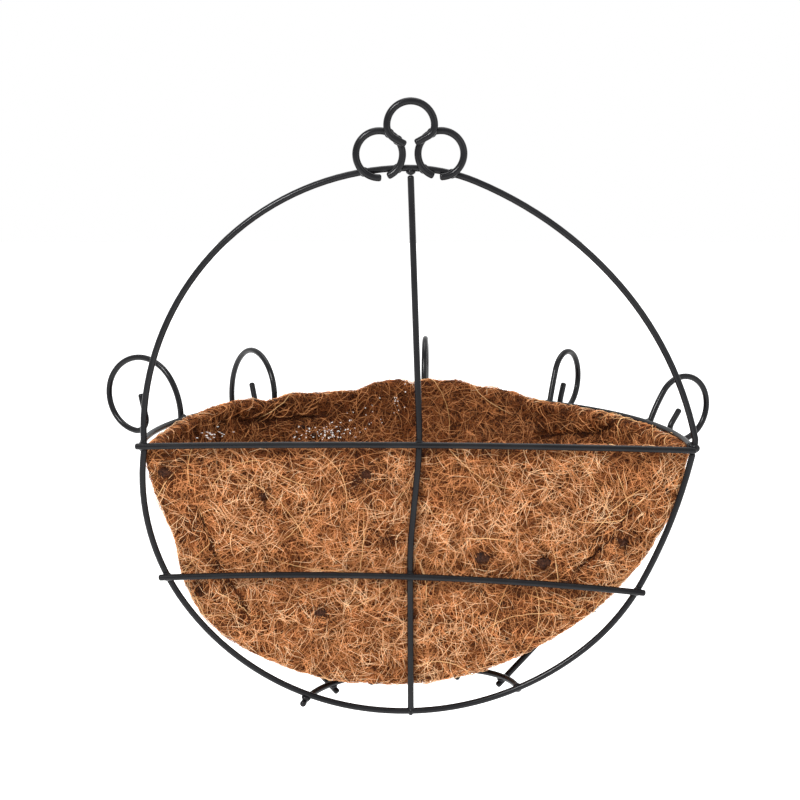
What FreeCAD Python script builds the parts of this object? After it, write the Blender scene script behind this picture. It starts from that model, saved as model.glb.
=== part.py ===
import FreeCAD, Part
import Sketcher
import math
import os
from FreeCAD import Placement, Rotation, Vector

# Wall basket: a frame welded up from bent wires, with a loose coir liner
# standing in it.  X runs along the wall, Y points from the wall into the
# room, Z is up.  The origin is the centre of the hanging ring.
# Heights in the tables below are measured from the rim bar.  Every wire is a
# bend schedule: where its centreline starts, its heading there in degrees,
# then its bends in order as (radius, turn).  A positive turn is to the left.
# A radius of 0 is a straight run, with its length in place of the turn.

# ------------------------------------------------------------- sizes, in mm
SIZES = {
    "wire_dia": 3.5,
    "ring_wire_dia": 3.8,
    "end_round": 1.2,
    "ring_above_rim": 172.7,
    "bar_offset": 3.55,
    "side_ring_offset": 3.7,
    "hanging_ring_offset": 7.55,
    "rib_axis_along": 2.0,
    "bead_width": 5.2,
    "bead_height": 3.6,
    "liner_bowl_along": 5.0,
    "liner_bowl_up": 0.5,
    "liner_bowl_tilt": 26.0,
    "liner_half_width": 152.5,
    "liner_reach": 144.0,
    "liner_depth": 131.5,
    "liner_mouth_along": 2.9,
    "liner_mouth_radius": 145.5,
    "liner_wall": 7.5,
    "liner_back_gap": 3.0,
    "liner_back_top": -1.5,
    "liner_top_slope": 4.5,
}

# Wires that lie flat against the wall: (offset, along, up, heading, bends).
BACK_WIRES = {
    "arch_wire": ("", -144.1, 0.4, 90.8, [
        (0, 3.8), (144.5, -43.5), (142.6, -46.6), (94.0, -23.1),
        (208.5, -26.0), (188.0, -28.9), (6.0, -16.0), (0, 2.9)]),
    "back_hoop": ("", -144.0, -0.4, -97.5, [
        (0, 2.4), (120.5, 42.4), (144.4, 47.1), (155.8, 48.0),
        (123.0, 22.5), (282.9, 14.5), (0, 5.6)]),
    "centre_post": ("", -0.2, 146.3, -88.0, [
        (0, 133.9), (199.0, -7.4), (0, 30.4), (249.6, 5.7), (0, 83.2)]),
    "rim_bar": ("bar_offset", -148.5, 1.3, 0.9, [
        (0, 5), (6300, -2.66), (0, 5)]),
    "lower_bar": ("bar_offset", -137.5, -71.8, 2.3, [
        (0, 4), (1770, -8.36), (0, 4)]),
}

# Rings of the trefoil, each an open C with its gap at the bottom.
RINGS = {
    "hanging_ring": ("hanging_ring_offset", -2.77, 162.6, 152, [
        (0, 6.4), (8.0, -62), (12.4, -180), (6.5, -62), (0, 7.5)]),
    "left_ring": ("side_ring_offset", -12.41, 145.89, 27, [
        (0, 1.4), (12.2, 166), (12.2, 166), (0, 1.4)]),
    "right_ring": ("side_ring_offset", 15.04, 145.63, 4, [
        (0, 1.4), (12.0, 166), (12.0, 166), (0, 1.4)]),
}

# Level arcs of the bowl: (along, out, heading, height, tilt, bends).  The
# arc tilts about Y, and the height is that of its start.
LEVEL_ARCS = {
    "rim_arc": (-145.8, 2.0, 96, 0.0, 0.06, [
        (0, 2.0), (131.5, -55.5), (153.0, -78.5), (151.5, -50.0), (0, 5.8)]),
    "bottom_arc": (-59.6, -4.6, 80, -144.0, 3.73, [
        (0, 5.0), (50.0, -45.0), (68.9, -70.0), (45.0, -47.0)]),
}

# Ribs, from the toe under the bottom arc up over the rim to the scroll tip:
# (azimuth, shift of its plane, reach and height of the toe, heading, bends).
RIBS = {
    "rib_1": (149.6, 2.97, 49.91, -148.75, 38, [
        (0, 72.12), (131.5, 52.3), (39.1, -35.9), (25.6, -111.2),
        (21.2, -117.8), (7.4, -109.5), (0, 13.8)]),
    "rib_2": (122.5, 2.42, 43.55, -147.38, 36, [
        (0, 78.52), (122.9, 51.9), (40.0, 9.0), (24.4, -46.9),
        (26.9, -76.4), (33.3, -82.9), (16.0, -182.9), (0, 12.5)]),
    "rib_3": (87.4, 0.52, 42.56, -145.65, 36, [
        (0, 74.92), (131.3, 52.0), (0, 3.7), (40.0, -27.0),
        (20.0, -213.0), (10.0, -130.0), (0, 11.0)]),
    "rib_4": (57.7, -0.24, 45.56, -144.12, 36, [
        (0, 68.87), (130.0, 49.4), (40.0, -13.0), (222.9, -5.2),
        (15.7, -127.2), (18.9, -115.6), (5.9, -119.3), (0, 9.7)]),
    "rib_5": (28.7, -3.26, 53.63, -142.67, 38, [
        (0, 67.12), (121.1, 48.7), (40.0, -19.0), (92.8, -12.2),
        (17.0, -126.4), (20.0, -104.3), (7.2, -130.5), (0, 9.2)]),
}

# Weld beads, by the pair of wires each one joins.
RIB_NAMES = sorted(RIBS)
WELDS = {
    "ring_welds": [
        ("arch_wire", "left_ring"), ("arch_wire", "right_ring"),
        ("hanging_ring", "left_ring"), ("hanging_ring", "right_ring")],
    "back_welds": [
        ("arch_wire", "centre_post"), ("back_hoop", "centre_post"),
        ("rim_bar", "centre_post"), ("lower_bar", "centre_post"),
        ("lower_bar", "back_hoop")],
    "corner_welds": [
        ("arch_wire", "back_hoop"), ("arch_wire", "rim_bar"),
        ("arch_wire", "rim_arc")],
    "rim_welds": [("rim_arc", rib) for rib in RIB_NAMES],
    "base_welds": [("back_hoop", "bottom_arc")] + [("bottom_arc", rib) for rib in RIB_NAMES],
}

os.makedirs("parts", exist_ok=True)
doc = FreeCAD.newDocument("wall_basket")
sheet = doc.addObject("Spreadsheet::Sheet", "dims")
row_count = 0


def add_cell(alias, value):
    """Put one driving size into the sheet under its alias."""
    global row_count
    row_count += 1
    sheet.set("A%d" % row_count, alias)
    sheet.set("B%d" % row_count, str(value))
    sheet.setAlias("B%d" % row_count, alias)


def add_schedule(name, start_a, start_b, heading, bends):
    """Put the start, heading and bends of one wire into the sheet."""
    add_cell(name + "_start_a", start_a)
    add_cell(name + "_start_b", start_b)
    add_cell(name + "_heading", heading)
    for index, (radius, amount) in enumerate(bends):
        if radius:
            add_cell("%s_radius_%d" % (name, index), radius)
            add_cell("%s_turn_%d" % (name, index), abs(amount))
        else:
            add_cell("%s_run_%d" % (name, index), amount)


for size_name, size_value in SIZES.items():
    add_cell(size_name, size_value)
for name, (_, along, up, heading, bends) in {**BACK_WIRES, **RINGS}.items():
    add_schedule(name, along, up, heading, bends)
for name, (along, out, heading, height, tilt, bends) in LEVEL_ARCS.items():
    add_schedule(name, along, out, heading, bends)
    add_cell(name + "_height", height)
    add_cell(name + "_tilt", tilt)
for name, (azimuth, shift, reach, height, heading, bends) in RIBS.items():
    add_schedule(name, reach, height, heading, bends)
    add_cell(name + "_azimuth", azimuth)
    add_cell(name + "_shift", shift)
doc.recompute()


def bind(sketch, index, name, expression):
    """Name a sketch constraint and drive it from the sheet."""
    sketch.renameConstraint(index, name)
    sketch.setExpression("Constraints." + name, expression)


def origin_plane(body, role):
    return next(f for f in body.Origin.OriginFeatures if f.Role == role)


def place(item, spot, axis=None, turn=None):
    """Drive the position of an item, and its turn about an axis, from the sheet."""
    if axis:
        item.Placement = Placement(Vector(), Rotation(Vector(*axis), 1))
        item.setExpression("Placement.Rotation.Angle", turn)
    for direction, expression in zip("xyz", spot):
        item.setExpression("Placement.Base." + direction, expression)


def draw_path(sketch, name, start, heading, bends):
    """Draw one bend schedule as a chain of tangent lines and arcs."""
    point = Vector(start[0], start[1], 0)
    angle = math.radians(heading)
    previous = None
    for index, (radius, amount) in enumerate(bends):
        ahead = Vector(math.cos(angle), math.sin(angle), 0)
        if radius:
            side = 1 if amount > 0 else -1
            sweep = math.radians(abs(amount))
            centre = point + Vector(-ahead.y, ahead.x, 0) * (side * radius)
            first = math.atan2(point.y - centre.y, point.x - centre.x)
            low = first if side > 0 else first - sweep
            circle = Part.Circle(centre, Vector(0, 0, 1), radius)
            sketch.addGeometry(Part.ArcOfCircle(circle, low, low + sweep))
            begins, ends = (1, 2) if side > 0 else (2, 1)
            last = first + side * sweep
            point = centre + Vector(math.cos(last), math.sin(last), 0) * radius
            angle += side * sweep
        else:
            target = point + ahead * amount
            sketch.addGeometry(Part.LineSegment(point, target))
            begins, ends = 1, 2
            point = target
        if previous is None:
            mark = sketch.addConstraint(Sketcher.Constraint("DistanceX", -1, 1, 0, 1, start[0]))
            bind(sketch, mark, "start_a", "dims.%s_start_a" % name)
            mark = sketch.addConstraint(Sketcher.Constraint("DistanceY", -1, 1, 0, 1, start[1]))
            bind(sketch, mark, "start_b", "dims.%s_start_b" % name)
            mark = sketch.addConstraint(Sketcher.Constraint("Angle", 0, math.radians(heading)))
            bind(sketch, mark, "heading", "dims.%s_heading * 1 deg" % name)
        else:
            sketch.addConstraint(Sketcher.Constraint("Tangent", previous[0], previous[1], index, begins))
        if radius:
            mark = sketch.addConstraint(Sketcher.Constraint("Radius", index, radius))
            bind(sketch, mark, "radius_%d" % index, "dims.%s_radius_%d" % (name, index))
            mark = sketch.addConstraint(Sketcher.Constraint("Angle", index, sweep))
            bind(sketch, mark, "turn_%d" % index, "dims.%s_turn_%d * 1 deg" % (name, index))
        else:
            mark = sketch.addConstraint(Sketcher.Constraint("Distance", index, amount))
            bind(sketch, mark, "run_%d" % index, "dims.%s_run_%d" % (name, index))
        previous = (index, ends)


paths = {}
nodes = {}


def bent_wire(name, plane, position, dia_name, start, heading, bends):
    """Sweep a round wire along its bend schedule and round both its ends."""
    body = doc.addObject("PartDesign::Body", name)
    path = body.newObject("Sketcher::SketchObject", name + "_path")
    path.AttachmentSupport = [(origin_plane(body, plane), "")]
    path.MapMode = "FlatFace"
    draw_path(path, name, start, heading, bends)
    section = body.newObject("Sketcher::SketchObject", name + "_section")
    section.AttachmentSupport = [(origin_plane(body, "XY_Plane"), "")]
    section.MapMode = "FlatFace"
    angle = math.radians(heading)
    if plane == "XZ_Plane":
        spot = Vector(start[0], 0, start[1])
        ahead = Vector(math.cos(angle), 0, math.sin(angle))
    else:
        spot = Vector(start[0], start[1], 0)
        ahead = Vector(math.cos(angle), math.sin(angle), 0)
    section.AttachmentOffset = Placement(spot, Rotation(Vector(0, 0, 1), ahead))
    section.addGeometry(Part.Circle(Vector(0, 0, 0), Vector(0, 0, 1), SIZES[dia_name] / 2))
    section.addConstraint(Sketcher.Constraint("Coincident", 0, 3, -1, 1))
    mark = section.addConstraint(Sketcher.Constraint("Diameter", 0, SIZES[dia_name]))
    bind(section, mark, "dia", "dims." + dia_name)
    doc.recompute()
    pipe = body.newObject("PartDesign::AdditivePipe", name + "_sweep")
    pipe.Profile = (section, [""])
    pipe.Spine = (path, [])
    doc.recompute()
    ends = [f for f in pipe.Shape.Faces if f.Surface.TypeId == "Part::GeomPlane"]
    rims = [
        "Edge%d" % number
        for number, edge in enumerate(pipe.Shape.Edges, 1)
        if any(edge.isSame(other) for face in ends for other in face.Edges)
    ]
    rounding = body.newObject("PartDesign::Fillet", name + "_ends")
    rounding.Base = (pipe, rims)
    rounding.setExpression("Radius", "dims.end_round")
    body.Tip = rounding
    place(body, *position)
    doc.recompute()
    body.Label = name
    trace = path.Shape.copy()
    trace.Placement = body.Placement.multiply(trace.Placement)
    paths[name] = trace
    nodes[name] = body


# The arch, the hoop and the post share one plane, this far from the wall.
PLANE = "dims.hanging_ring_offset"
RIM = "-dims.ring_above_rim"

for name, (offset_name, along, up, heading, bends) in {**BACK_WIRES, **RINGS}.items():
    nearer = " - dims." + offset_name if offset_name else ""
    dia_name = "ring_wire_dia" if name in RINGS else "wire_dia"
    position = (("0", PLANE + nearer, RIM),)
    bent_wire(name, "XZ_Plane", position, dia_name, (along, up), heading, bends)

for name, (along, out, heading, height, tilt, bends) in LEVEL_ARCS.items():
    start = "dims.%s_start_a" % name
    turn = "dims.%s_tilt * 1 deg" % name
    across = "%s * (1 - cos(%s))" % (start, turn)
    up = "%s + dims.%s_height - %s * sin(%s)" % (RIM, name, start, turn)
    position = ((across, PLANE, up), (0, -1, 0), turn)
    bent_wire(name, "XY_Plane", position, "wire_dia", (along, out), heading, bends)

for name, (azimuth, shift, reach, height, heading, bends) in RIBS.items():
    spot = ("dims.rib_axis_along", "%s + dims.%s_shift" % (PLANE, name), RIM)
    position = (spot, (0, 0, 1), "dims.%s_azimuth * 1 deg" % name)
    bent_wire(name, "XZ_Plane", position, "wire_dia", (reach, height), heading, bends)


def joint_spots(first, second):
    """Find where two centrelines pass closest, once for each crossing."""
    reach = SIZES["wire_dia"] + 1.5
    near = []
    for one in paths[first].Edges:
        for other in paths[second].Edges:
            distance, pairs, _ = one.distToShape(other)
            if distance < reach:
                near += [(distance, a, b) for a, b in pairs]
    spots = []
    for _, a, b in sorted(near, key=lambda item: item[0]):
        middle = (a + b) * 0.5
        if all(middle.distanceToPoint(spot) > SIZES["bead_width"] for spot, _ in spots):
            spots.append((middle, b - a))
    return spots


for name, joints in WELDS.items():
    beads = []
    for first, second in joints:
        for middle, across in joint_spots(first, second):
            bead = doc.addObject("Part::Ellipsoid", "%s_bead_%d" % (name, len(beads) + 1))
            bead.setExpression("Radius1", "dims.bead_height / 2")
            bead.setExpression("Radius2", "dims.bead_width / 2")
            bead.setExpression("Radius3", "dims.bead_width / 2")
            bead.Placement = Placement(middle, Rotation(Vector(0, 0, 1), across))
            beads.append(bead)
    group = doc.addObject("Part::MultiFuse", name)
    group.Shapes = beads
    group.Label = name
    nodes[name] = group

# Coir liner: a quarter of an ellipsoid, slumped to the left, with a flat back
# and an open top.  An upright cylinder trims it to pass through the rim arc.
LINER_BACK = PLANE + " + dims.liner_back_gap"
SPAN = 400


def liner_block(name, spot, axis=None, turn=None):
    """A block larger than the liner, for trimming it."""
    block = doc.addObject("Part::Box", name)
    block.Length = SPAN
    block.Width = SPAN
    block.Height = SPAN
    place(block, spot, axis, turn)
    return block


def liner_form(name, inset):
    """The bowl trimmed by the mouth and the flat back, all inset by one thickness."""
    bowl = doc.addObject("Part::Ellipsoid", name + "_bowl")
    bowl.setExpression("Radius1", "dims.liner_depth - " + inset)
    bowl.setExpression("Radius2", "dims.liner_half_width - " + inset)
    bowl.setExpression("Radius3", "dims.liner_reach - " + inset)
    spot = ("dims.liner_bowl_along", LINER_BACK, RIM + " + dims.liner_bowl_up")
    place(bowl, spot, (0, -1, 0), "dims.liner_bowl_tilt * 1 deg")
    mouth = doc.addObject("Part::Cylinder", name + "_mouth")
    mouth.setExpression("Radius", "dims.liner_mouth_radius - " + inset)
    mouth.Height = SPAN
    place(mouth, ("dims.liner_mouth_along", LINER_BACK, "%s - %d" % (RIM, SPAN / 2)))
    spot = (str(-SPAN / 2), "%s + %s" % (LINER_BACK, inset), "%s - %d" % (RIM, SPAN / 2))
    front = liner_block(name + "_front", spot)
    form = doc.addObject("Part::MultiCommon", name)
    form.Shapes = [bowl, mouth, front]
    return form


outside = liner_form("liner_outside", "0")
inside = liner_form("liner_inside", "dims.liner_wall")
spot = (str(-SPAN / 2), LINER_BACK, RIM + " + dims.liner_back_top")
above = liner_block("liner_above", spot, (1, 0, 0), "dims.liner_top_slope * 1 deg")
trimmed = doc.addObject("Part::Cut", "liner_trimmed")
trimmed.Base = outside
trimmed.Tool = above
liner = doc.addObject("Part::Cut", "coir_liner")
liner.Base = trimmed
liner.Tool = inside
liner.Label = "coir_liner"
nodes["coir_liner"] = liner
doc.recompute()

for item in doc.Objects:
    if "Invalid" in item.State or "Error" in item.State:
        raise RuntimeError("%s did not compute: %s" % (item.Label, item.State))
for name, node in nodes.items():
    if node.Shape.isNull() or not node.Shape.isValid():
        raise RuntimeError(name + " has no valid shape")
    node.Shape.exportStep("parts/%s.step" % name)
    print(name, "solids", len(node.Shape.Solids), "volume", round(node.Shape.Volume, 1))
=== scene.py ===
import math
import random
from collections import namedtuple

import bmesh
import bpy
import numpy as np
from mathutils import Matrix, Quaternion, Vector, noise
from mathutils.bvhtree import BVHTree


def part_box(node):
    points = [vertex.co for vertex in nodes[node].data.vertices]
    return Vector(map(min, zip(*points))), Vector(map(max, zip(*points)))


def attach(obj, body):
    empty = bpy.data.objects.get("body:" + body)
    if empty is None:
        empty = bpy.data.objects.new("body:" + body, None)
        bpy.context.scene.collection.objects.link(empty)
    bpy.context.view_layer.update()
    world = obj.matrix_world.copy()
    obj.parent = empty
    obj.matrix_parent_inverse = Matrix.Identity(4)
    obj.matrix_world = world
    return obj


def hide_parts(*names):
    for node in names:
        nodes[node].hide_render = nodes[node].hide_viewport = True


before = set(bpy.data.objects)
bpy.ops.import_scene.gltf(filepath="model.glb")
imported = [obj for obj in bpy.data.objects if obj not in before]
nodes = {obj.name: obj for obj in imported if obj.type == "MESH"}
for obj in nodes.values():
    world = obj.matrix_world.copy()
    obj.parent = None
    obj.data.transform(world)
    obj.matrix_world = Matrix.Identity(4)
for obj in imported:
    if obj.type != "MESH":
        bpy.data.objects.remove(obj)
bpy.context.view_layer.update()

MM = 0.001
SEED = 11
rng = random.Random(SEED)

LINER_LOW, LINER_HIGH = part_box("coir_liner")
BAR_LOW, BAR_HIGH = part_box("rim_bar")
RIM_Z = (BAR_LOW.z + BAR_HIGH.z) / 2
LINER_X = (LINER_LOW.x + LINER_HIGH.x) / 2
LINER_BACK = LINER_LOW.y


# ------------------------------------------------------------------ helpers
def link(obj):
    bpy.context.scene.collection.objects.link(obj)
    return obj


def smoothstep(low, high, value):
    t = np.clip((value - low) / (high - low), 0.0, 1.0)
    return t * t * (3 - 2 * t)


def new_material(name, color, roughness, specular):
    mat = bpy.data.materials.new(name)
    mat.use_nodes = True
    shader = mat.node_tree.nodes["Principled BSDF"]
    shader.inputs["Base Color"].default_value = (*color, 1)
    shader.inputs["Roughness"].default_value = roughness
    shader.inputs["Specular IOR Level"].default_value = specular
    return mat, mat.node_tree, shader


def add_node(tree, kind, **inputs):
    node = tree.nodes.new(kind)
    for key, value in inputs.items():
        node.inputs[key.replace("_", " ")].default_value = value
    return node


def color_ramp(tree, source, stops):
    """Colour read from source by way of (position, colour) stops."""
    ramp = tree.nodes.new("ShaderNodeValToRGB")
    while len(ramp.color_ramp.elements) < len(stops):
        ramp.color_ramp.elements.new(0.5)
    for element, (place, color) in zip(ramp.color_ramp.elements, stops):
        element.position = place
        element.color = (*color, 1)
    tree.links.new(source, ramp.inputs["Fac"])
    return ramp.outputs["Color"]


# ---------------------------------------------------------------- materials
COAT_DARK, COAT_MIDDLE, COAT_LIGHT = (0.003, 0.003, 0.004), (0.005, 0.005, 0.006), (0.008, 0.008, 0.009)
# Felt fibres: (noise scale, half width of a line in noise units).
FELT_LINES = ((150.0, 0.030), (210.0, 0.040), (280.0, 0.050), (360.0, 0.060))
# The pit colour is painted shade in the gaps between the felt's fibre lines.
FELT_PIT_PAINTED_SHADE, FELT_BROWN, FELT_FIBRE = (0.035, 0.009, 0.003), (0.13, 0.040, 0.012), (0.34, 0.125, 0.042)
FELT_MEAN, FELT_SHADE = (0.20, 0.10, 0.045), (0.60, 0.52, 0.48)
WHITE, BLACK = (1, 1, 1), (0, 0, 0)


def wire_material():
    """Satin black powder coat with a faint orange peel."""
    mat, tree, shader = new_material("black_powder_coat", COAT_MIDDLE, roughness=0.22, specular=0.18)
    coords = tree.nodes.new("ShaderNodeTexCoord")
    peel = add_node(tree, "ShaderNodeTexNoise", Scale=900.0, Detail=2.0)
    tree.links.new(coords.outputs["Object"], peel.inputs["Vector"])
    bump = add_node(tree, "ShaderNodeBump", Strength=0.10, Distance=0.0002)
    tree.links.new(peel.outputs["Fac"], bump.inputs["Height"])
    tree.links.new(bump.outputs["Normal"], shader.inputs["Normal"])
    wear = add_node(tree, "ShaderNodeTexNoise", Scale=60.0, Detail=3.0)
    tree.links.new(coords.outputs["Object"], wear.inputs["Vector"])
    tint = color_ramp(tree, wear.outputs["Fac"], [(0.35, COAT_DARK), (0.75, COAT_LIGHT)])
    tree.links.new(tint, shader.inputs["Base Color"])
    return mat


def fibre_lines(tree, coords, scale, seed, half_width):
    """Thin curling lines: the places where a smooth noise passes its middle value."""
    lines = add_node(tree, "ShaderNodeTexNoise", Scale=scale, Detail=1.5, Distortion=0.6)
    lines.noise_dimensions = "4D"
    lines.inputs["W"].default_value = seed
    tree.links.new(coords.outputs["Object"], lines.inputs["Vector"])
    return color_ramp(tree, lines.outputs["Fac"], [
        (0.5 - half_width, BLACK), (0.5, WHITE), (0.5 + half_width, BLACK)])


def felt_material():
    """Matted coir under the loose strands: curling fibres over dark pits, whose darkness is painted
    shade.
    """
    mat, tree, shader = new_material("coir_felt", FELT_MEAN, roughness=0.9, specular=0.08)
    coords = tree.nodes.new("ShaderNodeTexCoord")
    mask = None
    for seed, (scale, half_width) in enumerate(FELT_LINES):
        lines = fibre_lines(tree, coords, scale, seed * 3.7, half_width)
        if mask is None:
            mask = lines
            continue
        highest = tree.nodes.new("ShaderNodeMath")
        highest.operation = "MAXIMUM"
        tree.links.new(mask, highest.inputs[0])
        tree.links.new(lines, highest.inputs[1])
        mask = highest.outputs[0]
    # Painted shade: the pits between the fibre lines get the darkest colour.
    fibre = color_ramp(tree, mask, [(0.0, FELT_PIT_PAINTED_SHADE), (0.45, FELT_BROWN), (1.0, FELT_FIBRE)])
    patch = add_node(tree, "ShaderNodeTexNoise", Scale=26.0, Detail=3.0)
    tree.links.new(coords.outputs["Object"], patch.inputs["Vector"])
    shade = color_ramp(tree, patch.outputs["Fac"], [(0.36, FELT_SHADE), (0.58, WHITE)])
    mix = tree.nodes.new("ShaderNodeMix")
    mix.data_type = "RGBA"
    mix.blend_type = "MULTIPLY"
    mix.inputs["Factor"].default_value = 1.0
    tree.links.new(fibre, mix.inputs["A"])
    tree.links.new(shade, mix.inputs["B"])
    tree.links.new(mix.outputs["Result"], shader.inputs["Base Color"])
    bump = add_node(tree, "ShaderNodeBump", Strength=0.9, Distance=0.0006)
    tree.links.new(mask, bump.inputs["Height"])
    tree.links.new(bump.outputs["Normal"], shader.inputs["Normal"])
    return mat


def strand_material(name, dark, light, specular, scale=160.0):
    """One tone, drifting between dark and light from place to place."""
    mat, tree, shader = new_material(name, light, roughness=0.5, specular=specular)
    coords = tree.nodes.new("ShaderNodeTexCoord")
    drift = add_node(tree, "ShaderNodeTexNoise", Scale=scale, Detail=3.0)
    tree.links.new(coords.outputs["Object"], drift.inputs["Vector"])
    tint = color_ramp(tree, drift.outputs["Fac"], [(0.36, dark), (0.64, light)])
    tree.links.new(tint, shader.inputs["Base Color"])
    return mat


# -------------------------------------------------------------------- liner
# Places on the liner are (along, up) in mm from the middle of the rim bar.
BACK_CREASES = (
    ((-119, -36), (-108, -66), (-93, -94)),
    ((118, -34), (106, -54), (88, -70)),
)
FRONT_CREASES = (
    ((-106, -2), (-101, -6), (-84, -8), (-62, -8)),
    ((75, -19), (109, -11), (117, -2)),
)
CREASE_WIDTH = 1.9 * MM
CREASE_DEPTH = 3.8 * MM
# Knots of dark pith: (along, up, size).
KNOTS = (
    (37, -63, 4.2), (70, -66, 4.0), (84, -78, 3.6), (113, -54, 3.0), (-52, -94, 3.6), (-27, -16, 3.4),
    (-33, -20, 2.4), (-136, -15, 3.6), (-83, -28, 2.6), (-118, -80, 2.2), (-15, -52, 2.2), (98, -94, 2.4))
# Darker areas of the back face: (along, up, radius).
DARK_PATCHES = (
    (56, -86, 11), (-27, -16, 11), (14, -20, 12), (70, -66, 8), (84, -78, 9), (-66, -62, 12),
    (-128, -22, 12), (58, -108, 8), (118, -14, 10), (8, -76, 10))
# Rise of the top edge of the front wall over the flat cut: (along, rise).
TOP_EDGE = (
    (-145, -1), (-129, 0.5), (-107, 1.5), (-98, 0.5), (-89, -3), (-75, -0.5), (-53, -3),
    (-35, -3), (-24, 1), (-9, 2.5), (-2, -0.5), (9, 2), (27, 2), (36, -0.5), (50, -1.5),
    (60, -2.5), (73, -5), (91, -6), (108, -5), (122, -4), (145, -2.5))
# Narrow waist and wider belly of the left side, in mm: how far, how high up and how tall.
WAIST_IN, WAIST_UP, WAIST_TALL = 9.0, -52, 30
BELLY_OUT, BELLY_UP, BELLY_TALL = 4.0, -104, 26
# How far the top corners reach out for the rim, in mm.
LEFT_FLARE, RIGHT_FLARE = 2.4, 3.0
# Lumps of the felt: (height, size) in mm.
LUMPS = ((0.8, 18), (0.5, 7), (0.6, 3.4))
VOXEL = 2.0 * MM
# A point between the inside faces of the liner.
LINER_CENTRE = Vector((LINER_X, LINER_BACK + 50 * MM, RIM_Z - 35 * MM))


def evaluated_mesh(obj):
    """The object's mesh with its modifiers applied."""
    graph = bpy.context.evaluated_depsgraph_get()
    return bpy.data.meshes.new_from_object(obj.evaluated_get(graph))


def read_vectors(mesh, kind):
    """The vertices' co or normal, one row each."""
    values = np.empty(len(mesh.vertices) * 3)
    mesh.vertices.foreach_get(kind, values)
    return values.reshape(-1, 3)


def write_points(mesh, points):
    mesh.vertices.foreach_set("co", points.ravel())
    mesh.update()


def fractal(points, size, seed):
    """Smooth noise, about -1 to 1, whose lumps are size across."""
    shift = Vector((seed * 3.1, seed * 1.7, seed * 2.3))
    return np.array([noise.noise(Vector(p) / size + shift) for p in points])


def hump(z, up, tall):
    """1 at the height up, falling to 0 above and below it."""
    return np.exp(-((z - (RIM_Z + up * MM)) / (tall * MM)) ** 2)


def shape_liner(points):
    """Uneven top edge, corners that reach for the rim, and a left side with a waist and a belly."""
    points = points.copy()
    x, y, z = points.T
    along = (x - LINER_X) / (LINER_HIGH.x - LINER_X)
    out = np.clip((y - LINER_BACK) / (LINER_HIGH.y - LINER_BACK), 0, 1)
    top = smoothstep(RIM_Z - 30 * MM, RIM_Z + 2 * MM, z)
    edge_x, edge_rise = np.array(TOP_EDGE).T
    rise = np.interp(x - LINER_X, edge_x * MM, edge_rise * MM)
    points[:, 2] += top * smoothstep(0.08, 0.30, out) * rise
    left = smoothstep(0.45, 1.0, -along) * (1 - 0.6 * out)
    points[:, 0] += WAIST_IN * MM * hump(z, WAIST_UP, WAIST_TALL) * left
    lower_left = smoothstep(0.2, 0.7, -along) * (1 - 0.6 * out)
    points[:, 0] -= BELLY_OUT * MM * hump(z, BELLY_UP, BELLY_TALL) * lower_left
    flare = LEFT_FLARE * smoothstep(0.7, 1.0, -along) * smoothstep(RIM_Z - 40 * MM, RIM_Z, z)
    flare -= RIGHT_FLARE * smoothstep(0.8, 1.0, along) * smoothstep(RIM_Z - 16 * MM, RIM_Z - 2 * MM, z)
    points[:, 0] -= flare * MM
    return points


def distance_to_line(flat, line):
    """How far each (along, up) point lies from a line of straight runs, in metres."""
    nearest = np.full(len(flat), np.inf)
    for first, last in zip(line, line[1:]):
        start = np.array((LINER_X, RIM_Z)) + np.array(first) * MM
        run = (np.array(last) - np.array(first)) * MM
        t = np.clip((flat - start) @ run / (run @ run), 0, 1)
        nearest = np.minimum(nearest, np.linalg.norm(flat - start - t[:, None] * run, axis=1))
    return nearest


def crease_amount(points, normals):
    """1 along the middle of each crease, falling to 0 beside it."""
    flat = points[:, [0, 2]]
    faces_wall = normals[:, 1] < -0.2
    amount = np.zeros(len(points))
    for creases, low, high in ((BACK_CREASES, -1, 8), (FRONT_CREASES, 40, 200)):
        depth = points[:, 1] - LINER_BACK
        here = faces_wall & (depth > low * MM) & (depth < high * MM)
        for crease in creases:
            soft = np.exp(-(distance_to_line(flat, crease) / CREASE_WIDTH) ** 2)
            amount = np.maximum(amount, soft * here)
    return amount


def patch_amount(points, patches):
    """1 in the middle of each (along, up, radius) patch of the back face, falling to 0 around it."""
    amount = np.zeros(len(points))
    for along, up, radius in patches:
        middle = np.array((LINER_X + along * MM, RIM_Z + up * MM))
        gap = np.linalg.norm(points[:, [0, 2]] - middle, axis=1)
        amount = np.maximum(amount, np.exp(-(gap / (radius * MM)) ** 2))
    return amount * (points[:, 1] < LINER_BACK + 6 * MM)


def felt_shell(material):
    """The liner's body: the CAD pocket, rounded, sagged, creased and lumpy."""
    shell = link(bpy.data.objects.new("coir_felt", nodes["coir_liner"].data.copy()))
    remesh = shell.modifiers.new("voxels", "REMESH")
    remesh.mode = "VOXEL"
    remesh.voxel_size = VOXEL
    soften = shell.modifiers.new("soften", "SMOOTH")
    soften.iterations = 6
    soften.factor = 0.5
    mesh = evaluated_mesh(shell)
    shell.modifiers.clear()
    shell.data = mesh
    points = shape_liner(read_vectors(mesh, "co"))
    write_points(mesh, points)
    points[:, 1] += CREASE_DEPTH * crease_amount(points, read_vectors(mesh, "normal"))
    write_points(mesh, points)
    normals = read_vectors(mesh, "normal")
    lumps = sum(height * fractal(points, size * MM, seed) for seed, (height, size) in enumerate(LUMPS, 1))
    write_points(mesh, points + normals * (lumps * MM)[:, None])
    mesh.materials.clear()
    mesh.materials.append(material)
    mesh.polygons.foreach_set("use_smooth", [True] * len(mesh.polygons))
    return shell


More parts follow.
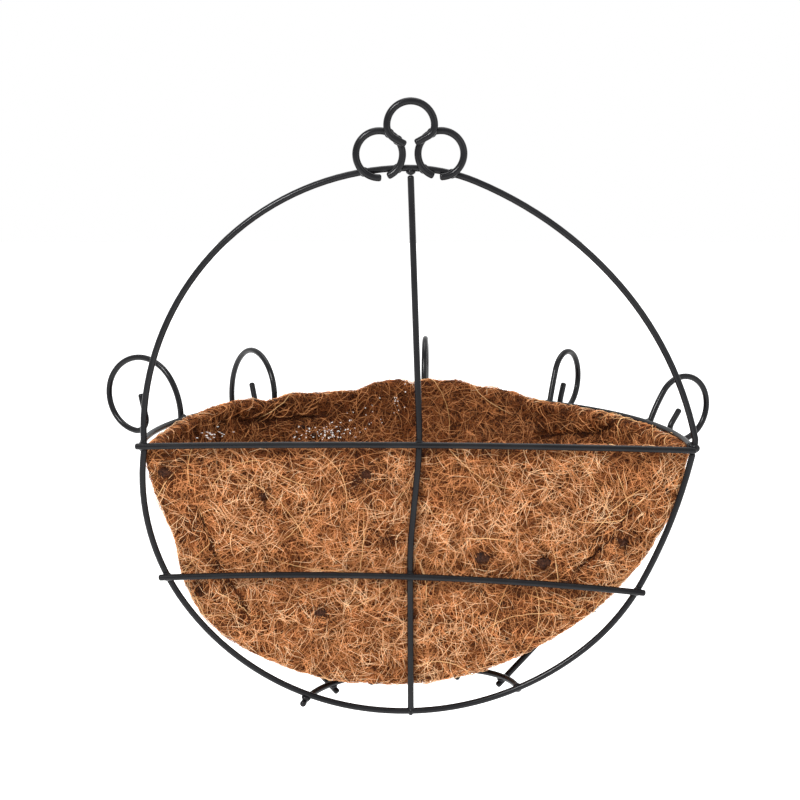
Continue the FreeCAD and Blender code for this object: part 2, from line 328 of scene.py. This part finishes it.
# -------------------------------------------------------------- one strand
# A kind of strand, in mm: ranges of bend radius and of length, how far the bend has changed
# by the end, number of points, lift off the felt, how far an end strays, range of radius.
# A plain number stands for a range that is a single value.
Kind = namedtuple("Kind", "bend length change steps lift stray radius")
COIR = Kind((3.5, 24), (6, 21), (-2.0, 0.4), 8, None, 0.35, None)
LONG = Kind((18, 90), (28, 70), (-1.5, 0.5), 26, (0.8, 1.3), 0.8, (0.19, 0.28))
LINT = Kind((1, 4), (0.3, 1.1), 0, 6, 1.7, 0, (0.11, 0.24))
CREASE = Kind((8, 40), (4, 12), -1, 8, (0.3, 1.3), 0, (0.14, 0.24))
ROUND_KNOT = Kind((1.5, 5), (3, 8), 0, 8, (0.6, 1.8), 0, (0.12, 0.22))


def drawn(values):
    """A random value from a range, or the plain number itself."""
    return rng.uniform(*values) if isinstance(values, tuple) else values


def any_heading(normal):
    return Quaternion(normal, rng.uniform(0, math.tau)) @ normal.orthogonal().normalized()


def trace_strand(tree, start, normal, heading, length, bend, change, steps, lift, stray):
    """Walk over the felt from start, turning as it goes, and lift off a little."""
    step = length / (steps - 1)
    spot = start
    path = []
    ups = []
    for index in range(steps):
        t = index / (steps - 1)
        path.append(spot + normal * (lift * (0.3 + math.sin(math.pi * t)) + stray * t ** 3))
        ups.append(normal)
        heading = Quaternion(normal, bend * (1 + change * t) * step) @ heading
        spot, normal, _, _ = tree.find_nearest(spot + heading * step)
        heading = (heading - normal * heading.dot(normal)).normalized()
    return path, ups


def lay_strand(tree, spot, normal, kind, heading=None):
    """One strand of this kind from spot: its path, the felt's normals along it and its radius."""
    bend = rng.choice((-1, 1)) / (rng.uniform(*kind.bend) * MM)
    if heading is None:
        heading = any_heading(normal)
    length = drawn(kind.length) * MM
    change = drawn(kind.change)
    lift = drawn(kind.lift) * MM
    stray = max(0, rng.gauss(0, kind.stray)) * MM if kind.stray else 0
    path, ups = trace_strand(tree, spot, normal, heading, length, bend, change, kind.steps, lift, stray)
    return path, ups, drawn(kind.radius) * MM


# Thickness of a strand along its length: (place, share of its radius).
TAPER = ((0, 0.35), (0.15, 1), (0.85, 1), (1, 0.25))
TUBE_SIDES = 3


def strands_mesh(name, strands, material):
    """Thin three-sided tubes, narrower at their ends, along all the strands, as one object."""
    paths = np.array([strand[0] for strand in strands])
    ups = np.array([strand[1] for strand in strands])
    radii = np.array([strand[2] for strand in strands])
    count, steps, _ = paths.shape
    ahead = np.gradient(paths, axis=1)
    ahead /= np.linalg.norm(ahead, axis=2, keepdims=True) + 1e-12
    side = np.cross(ahead, ups)
    side /= np.linalg.norm(side, axis=2, keepdims=True) + 1e-12
    rise = np.cross(side, ahead)
    taper = np.interp(np.linspace(0, 1, steps), *zip(*TAPER))
    width = radii[:, None, None] * taper[None, :, None]
    angles = [math.tau * k / TUBE_SIDES + math.pi / 2 for k in range(TUBE_SIDES)]
    rings = [paths + width * (math.cos(a) * side + math.sin(a) * rise) for a in angles]
    points = np.stack(rings, axis=2).reshape(-1, 3)
    base = (np.arange(count)[:, None] * steps + np.arange(steps - 1)[None, :]) * TUBE_SIDES
    ahead_base = base + TUBE_SIDES
    faces = []
    for k in range(TUBE_SIDES):
        after = (k + 1) % TUBE_SIDES
        faces.append(np.stack([base + k, base + after, ahead_base + after, ahead_base + k], axis=2))
    faces = np.concatenate([f.reshape(-1, 4) for f in faces])
    first = np.arange(count)[:, None] * steps * TUBE_SIDES
    last = first + (steps - 1) * TUBE_SIDES
    caps = np.concatenate([first + np.array([2, 1, 0]), last + np.array([0, 1, 2])])
    mesh = bpy.data.meshes.new(name)
    mesh.from_pydata(points.tolist(), [], faces.tolist() + caps.tolist())
    mesh.polygons.foreach_set("use_smooth", [True] * len(mesh.polygons))
    mesh.materials.append(material)
    return link(bpy.data.objects.new(name, mesh))


# ------------------------------------------------------------- coir strands
# Tones from deepest to topmost: dark and light colour, share of the strands,
# ranges of lift off the felt and of strand radius in mm, gloss.
Tone = namedtuple("Tone", "dark light share lift radius gloss")
TONES = {
    "dark": Tone((0.026, 0.007, 0.002), (0.100, 0.027, 0.007), 0.25, (0.1, 0.6), (0.10, 0.18), 0.10),
    "brown": Tone((0.180, 0.052, 0.012), (0.390, 0.122, 0.033), 0.29, (0.1, 0.8), (0.10, 0.17), 0.20),
    "gold": Tone((0.465, 0.178, 0.056), (0.780, 0.338, 0.126), 0.32, (0.3, 1.1), (0.10, 0.17), 0.30),
    "pale": Tone((0.740, 0.390, 0.180), (0.980, 0.660, 0.380), 0.14, (0.5, 1.3), (0.09, 0.16), 0.45),
}
STRANDS = 66000
STRANDS_PER_PIECE = 4500
LONG_STRANDS = 150
# Dark strands for each mm of crease, which are painted shade, and for each knot, and how far they spread:
# in mm from a crease, and in sizes of the knot.
CREASE_STRANDS, CREASE_SPREAD = 2.2, 0.7
KNOT_STRANDS, KNOT_SPREAD = 30, 0.6
# Small knots scattered over the whole liner, and their range of size in mm.
STRAY_KNOTS, STRAY_KNOT_SIZE = 60, (0.8, 2.0)
# How thickly the strands lie: on the back face, on the bowl and on the inside.
BACK_SHARE, BOWL_SHARE, INSIDE_SHARE = 1.0, 0.6, 0.4
# How much darker the tones are: painted shade on the inside, in creases and on the top faces of the brim,
# and darker fibre round knots and in patches.
INSIDE_PAINTED_SHADE, CREASE_PAINTED_SHADE, KNOT_DARK, PATCH_DARK, BRIM_PAINTED_SHADE = 0.15, 0.8, 0.6, 0.28, 0.42


def is_inside(vertex):
    return (LINER_CENTRE - vertex.co).dot(vertex.normal) > 0


def choose_tone(spot, inside, shaded):
    """Tones gather in patches; the inside and the creases are darker as painted shade, and the knots are
    darker.
    """
    value = rng.random() + 0.03 * noise.noise(spot / (26 * MM)) + 0.03 * noise.noise(spot / (8 * MM))
    # Painted shade: strands on the inside of the pocket are darker.
    value -= INSIDE_PAINTED_SHADE * inside + shaded
    limit = 0
    for name, tone in TONES.items():
        limit += tone.share
        if value < limit:
            return name
    return "pale"


def shade_amount(mesh):
    """How much darker than the rest the strands on each vertex are: painted shade in the creases and on
    the brim, darker fibre round the knots and in the patches.
    """
    points = read_vectors(mesh, "co")
    normals = read_vectors(mesh, "normal")
    rings = [(along, up, 1.5 * size) for along, up, size in KNOTS]
    # Painted shade: strands in and beside the creases are darker.
    shaded = CREASE_PAINTED_SHADE * crease_amount(points, normals)
    # Painted shade: strands on the upward-facing top of the liner, just below the rim, are darker.
    brim_shade_band = smoothstep(RIM_Z - 14 * MM, RIM_Z - 8 * MM, points[:, 2])
    shaded = np.maximum(shaded, BRIM_PAINTED_SHADE * brim_shade_band * smoothstep(0.3, 0.8, normals[:, 2]))
    shaded = np.maximum(shaded, KNOT_DARK * patch_amount(points, rings))
    return np.maximum(shaded, PATCH_DARK * patch_amount(points, DARK_PATCHES))


def coir_strands(shell, tree):
    """Curling strands scattered over the whole felt, by tone."""
    mesh = shell.data
    shaded = shade_amount(mesh)
    kinds = {name: COIR._replace(lift=tone.lift, radius=tone.radius) for name, tone in TONES.items()}
    heaps = {name: [] for name in TONES}
    made = 0
    while made < STRANDS:
        index = rng.randrange(len(mesh.vertices))
        vertex = mesh.vertices[index]
        inside = is_inside(vertex)
        share = INSIDE_SHARE if inside else BACK_SHARE if vertex.normal.y < -0.7 else BOWL_SHARE
        if rng.random() > share:
            continue
        made += 1
        name = choose_tone(vertex.co, inside, shaded[index])
        heaps[name].append(lay_strand(tree, vertex.co, vertex.normal, kinds[name]))
    pieces = []
    for name, heap in heaps.items():
        tone = TONES[name]
        material = strand_material("coir_" + name, tone.dark, tone.light, tone.gloss)
        for number, first in enumerate(range(0, len(heap), STRANDS_PER_PIECE), 1):
            part = heap[first:first + STRANDS_PER_PIECE]
            pieces.append(strands_mesh("coir_strands_%s_%d" % (name, number), part, material))
    return pieces


def long_strands(shell, tree):
    """A few long pale strands lying loosely over the rest."""
    mesh = shell.data
    strands = []
    while len(strands) < LONG_STRANDS:
        vertex = mesh.vertices[rng.randrange(len(mesh.vertices))]
        if is_inside(vertex):
            continue
        strands.append(lay_strand(tree, vertex.co, vertex.normal, LONG))
    material = strand_material("coir_long_pale", (0.56, 0.29, 0.105), (0.80, 0.48, 0.22), 0.35, 60.0)
    return strands_mesh("coir_long_strands", strands, material)


def surface_at(tree, along, up, depth):
    """The felt met by a ray into the room that starts depth mm past the liner's wall side."""
    start = Vector((LINER_X + along * MM, LINER_BACK + depth * MM, RIM_Z + up * MM))
    spot, normal, _, _ = tree.ray_cast(start, Vector((0, 1, 0)))
    return spot, normal


# Depths past the liner's wall side, in mm, from which rays meet the back face and the front wall.
FROM_BEHIND, FROM_INSIDE = -30, 40
# White lint on the inside of the front wall: (along, up, spread along, spread up, wisps).
LINT_SPOTS = ((-119, -9, 5, 3, 20), (-53, -18, 11, 3, 70), (-30, -9, 10, 4, 12), (-8, 0, 6, 4, 12))
# The lint glows a little: painted light that makes the white specks read as bright glints.
LINT_PAINTED_GLOW = 0.30


def white_lint_painted_glow(tree):
    """Tiny white wisps caught on the inside of the front wall, glowing a little as painted light."""
    strands = []
    for along, up, wide, high, wisps in LINT_SPOTS:
        for _ in range(wisps):
            spot, normal = surface_at(tree, rng.gauss(along, wide), rng.gauss(up, high), FROM_INSIDE)
            if spot is not None:
                strands.append(lay_strand(tree, spot, normal, LINT))
    material = strand_material("white_lint_painted_glow", (0.92, 0.90, 0.87), (0.98, 0.97, 0.96), 0.5, 900.0)
    shader = material.node_tree.nodes["Principled BSDF"]
    # Painted light: the lint glows though it is no lamp.
    shader.inputs["Emission Color"].default_value = (*WHITE, 1)
    shader.inputs["Emission Strength"].default_value = LINT_PAINTED_GLOW
    return strands_mesh("white_lint_painted_glow", strands, material)


def strands_along(tree, first, last, depth):
    """Dark strands along one straight run of a crease, as painted shade."""
    strands = []
    run = Vector((last[0] - first[0], 0, last[1] - first[1]))
    for _ in range(round(CREASE_STRANDS * run.length)):
        t = rng.random()
        along = first[0] + t * run.x + rng.gauss(0, CREASE_SPREAD)
        up = first[1] + t * run.z + rng.gauss(0, CREASE_SPREAD)
        spot, normal = surface_at(tree, along, up, depth)
        if spot is not None:
            strands.append(lay_strand(tree, spot, normal, CREASE, run.normalized()))
    return strands


def strands_round(tree, along, up, size):
    """Dark strands that curl round one knot."""
    strands = []
    spread = KNOT_SPREAD * size
    for _ in range(KNOT_STRANDS):
        beside = along + rng.gauss(0, spread)
        above = up + rng.gauss(0, spread)
        spot, normal = surface_at(tree, beside, above, FROM_BEHIND)
        if spot is not None:
            strands.append(lay_strand(tree, spot, normal, ROUND_KNOT))
    return strands


def crease_shade_and_knot_fringe(tree):
    """Dark strands that run along the creases as painted shade and curl round the knots as dark fibre."""
    strands = []
    for creases, depth in ((BACK_CREASES, FROM_BEHIND), (FRONT_CREASES, FROM_INSIDE)):
        for crease in creases:
            for first, last in zip(crease, crease[1:]):
                strands += strands_along(tree, first, last, depth)
    for knot in KNOTS:
        strands += strands_round(tree, *knot)
    # Painted shade along the creases, and dark fibre round the knots.
    material = strand_material("coir_crease_shade_and_knot_fringe", (0.020, 0.006, 0.002), (0.080, 0.022, 0.007), 0.1)
    return strands_mesh("coir_crease_shade_and_knot_strands", strands, material)


# Shape of a knot beside its size: breadth, thickness and how far its middle stands proud.
KNOT_BREADTH, KNOT_THICKNESS, KNOT_PROUD = 0.75, 0.5, 0.05


def pith_knots(shell, tree):
    """Dark lumps of pith, half sunk into the felt."""
    mesh = shell.data
    spots = []
    for along, up, size in KNOTS:
        spot, normal = surface_at(tree, along, up, FROM_BEHIND)
        if spot is not None:
            spots.append((spot, normal, size * MM))
    for _ in range(STRAY_KNOTS):
        vertex = mesh.vertices[rng.randrange(len(mesh.vertices))]
        spots.append((vertex.co, vertex.normal, rng.uniform(*STRAY_KNOT_SIZE) * MM))
    lumps = bmesh.new()
    for number, (spot, normal, size) in enumerate(spots):
        made = bmesh.ops.create_icosphere(lumps, subdivisions=3, radius=1)
        turn = normal.to_track_quat("Z", "Y")
        for vert in made["verts"]:
            rough = 1 + 0.45 * noise.noise(vert.co * 1.6 + Vector((number, 0, 0)))
            rough += 0.2 * noise.noise(vert.co * 4 + Vector((0, number, 0)))
            local = vert.co * rough
            local = Vector((local.x, local.y * KNOT_BREADTH, local.z * KNOT_THICKNESS + KNOT_PROUD))
            vert.co = spot + turn @ local * size
    mesh = bpy.data.meshes.new("coir_knots")
    lumps.to_mesh(mesh)
    lumps.free()
    mesh.polygons.foreach_set("use_smooth", [True] * len(mesh.polygons))
    material = strand_material("coir_pith", (0.010, 0.005, 0.004), (0.055, 0.022, 0.012), 0.05, 900.0)
    mesh.materials.append(material)
    return link(bpy.data.objects.new("coir_knots", mesh))


def build_liner():
    shell = felt_shell(felt_material())
    tree = BVHTree.FromObject(shell, bpy.context.evaluated_depsgraph_get())
    pieces = coir_strands(shell, tree)
    pieces += [long_strands(shell, tree), crease_shade_and_knot_fringe(tree), white_lint_painted_glow(tree), pith_knots(shell, tree)]
    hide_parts("coir_liner")
    for piece in [shell] + pieces:
        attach(piece, "liner")


# -------------------------------------------------------------------- frame
def finish_frame():
    coat = wire_material()
    for name, obj in nodes.items():
        if name == "coir_liner":
            continue
        obj.data.materials.clear()
        obj.data.materials.append(coat)


# --------------------------------------------------------- camera and studio
ELEVATION = math.radians(10.5)
DISTANCE = 1.0
AIM = Vector((-5.8 * MM, 7.5 * MM, RIM_Z + 25.5 * MM))
SENSOR = 36.0
IMAGE_WIDTH_AT_AIM = 0.4301
# Lamps: name, place and size in metres, power in watts.
LAMPS = (
    ("key", (-1.0, -1.5, 1.1), 0.5, 42),
    ("fill", (1.5, -1.2, 0.6), 1.4, 10),
    ("top", (0.0, 0.4, 1.6), 1.2, 14))
FLOOR_HALF = 6.0
FLOOR_DROP = 0.35
FLOOR_GLOW = 0.6


def add_camera():
    data = bpy.data.cameras.new("camera")
    data.sensor_width = SENSOR
    data.lens = SENSOR * DISTANCE / IMAGE_WIDTH_AT_AIM
    camera = link(bpy.data.objects.new("camera", data))
    away = Vector((0, -math.cos(ELEVATION), math.sin(ELEVATION)))
    camera.location = AIM + away * DISTANCE
    camera.rotation_euler = (-away).to_track_quat("-Z", "Y").to_euler()
    bpy.context.scene.camera = camera


def add_light(name, place, size, power):
    data = bpy.data.lights.new(name, "AREA")
    data.size = size
    data.energy = power
    lamp = link(bpy.data.objects.new(name, data))
    lamp.location = place
    lamp.rotation_euler = (AIM - Vector(place)).to_track_quat("-Z", "Y").to_euler()


def add_studio():
    mat, _, shader = new_material("floor_white", (0.93, 0.93, 0.93), roughness=0.9, specular=0.1)
    shader.inputs["Emission Color"].default_value = (*WHITE, 1)
    shader.inputs["Emission Strength"].default_value = FLOOR_GLOW
    mesh = bpy.data.meshes.new("floor")
    depth = LINER_LOW.z - FLOOR_DROP
    signs = ((-1, -1), (1, -1), (1, 1), (-1, 1))
    corners = [(x * FLOOR_HALF, y * FLOOR_HALF, depth) for x, y in signs]
    mesh.from_pydata(corners, [], [range(len(corners))])
    mesh.materials.append(mat)
    link(bpy.data.objects.new("floor", mesh))
    world = bpy.data.worlds.new("studio")
    world.use_nodes = True
    world.node_tree.nodes["Background"].inputs["Color"].default_value = (*WHITE, 1)
    world.node_tree.nodes["Background"].inputs["Strength"].default_value = 1.0
    bpy.context.scene.world = world
    bpy.context.scene.view_settings.view_transform = "Standard"
    for lamp in LAMPS:
        add_light(*lamp)


finish_frame()
build_liner()
add_camera()
add_studio()
